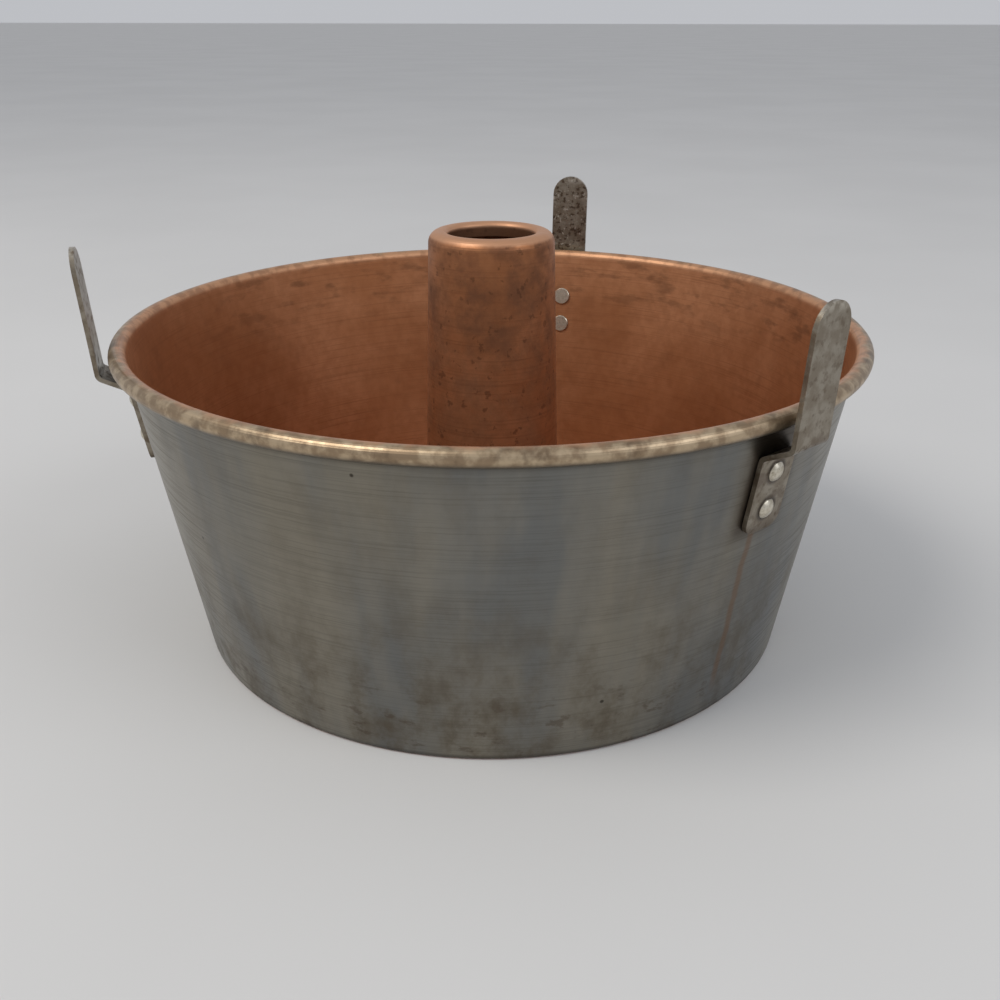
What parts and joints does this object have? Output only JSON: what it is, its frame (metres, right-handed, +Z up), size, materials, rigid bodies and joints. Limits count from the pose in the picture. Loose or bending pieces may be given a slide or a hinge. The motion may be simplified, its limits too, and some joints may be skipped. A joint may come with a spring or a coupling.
{
  "type": "angel food cake pan",
  "caption": "Flared round tube pan with a rolled rim, a lift-out bottom with a tapered centre tube, and riveted legs to stand it on when inverted.",
  "frame": {"origin": "centre of the base plane, on the axis of the pan", "axes": "+Z up along the axis of the pan, +Y from the axis towards the back leg"},
  "size_m": [0.2656, 0.273, 0.1445],
  "materials": {
    "shell_aluminium": "stained, fine turned lines; copper-toned inside",
    "copper_tone": "copper-toned coating, worn satin",
    "leg_steel": "tarnished plated steel",
    "rivet_aluminium": "satin, darkened edges"
  },
  "bodies": {
    "pan": {"pan_shell": "shell_aluminium", "leg_back": "leg_steel", "leg_left": "leg_steel", "leg_right": "leg_steel", "rivet_back_upper": "rivet_aluminium", "rivet_back_lower": "rivet_aluminium", "rivet_left_upper": "rivet_aluminium", "rivet_left_lower": "rivet_aluminium", "rivet_right_upper": "rivet_aluminium", "rivet_right_lower": "rivet_aluminium"},
    "insert": {"bottom_plate": "copper_tone", "centre_tube": "copper_tone"}
  },
  "joints": [
    {"name": "insert_lift", "type": "slide", "parent": "pan", "child": "insert", "axis": [0, 0, 1], "range_m": [0, 0.16]}
  ]
}
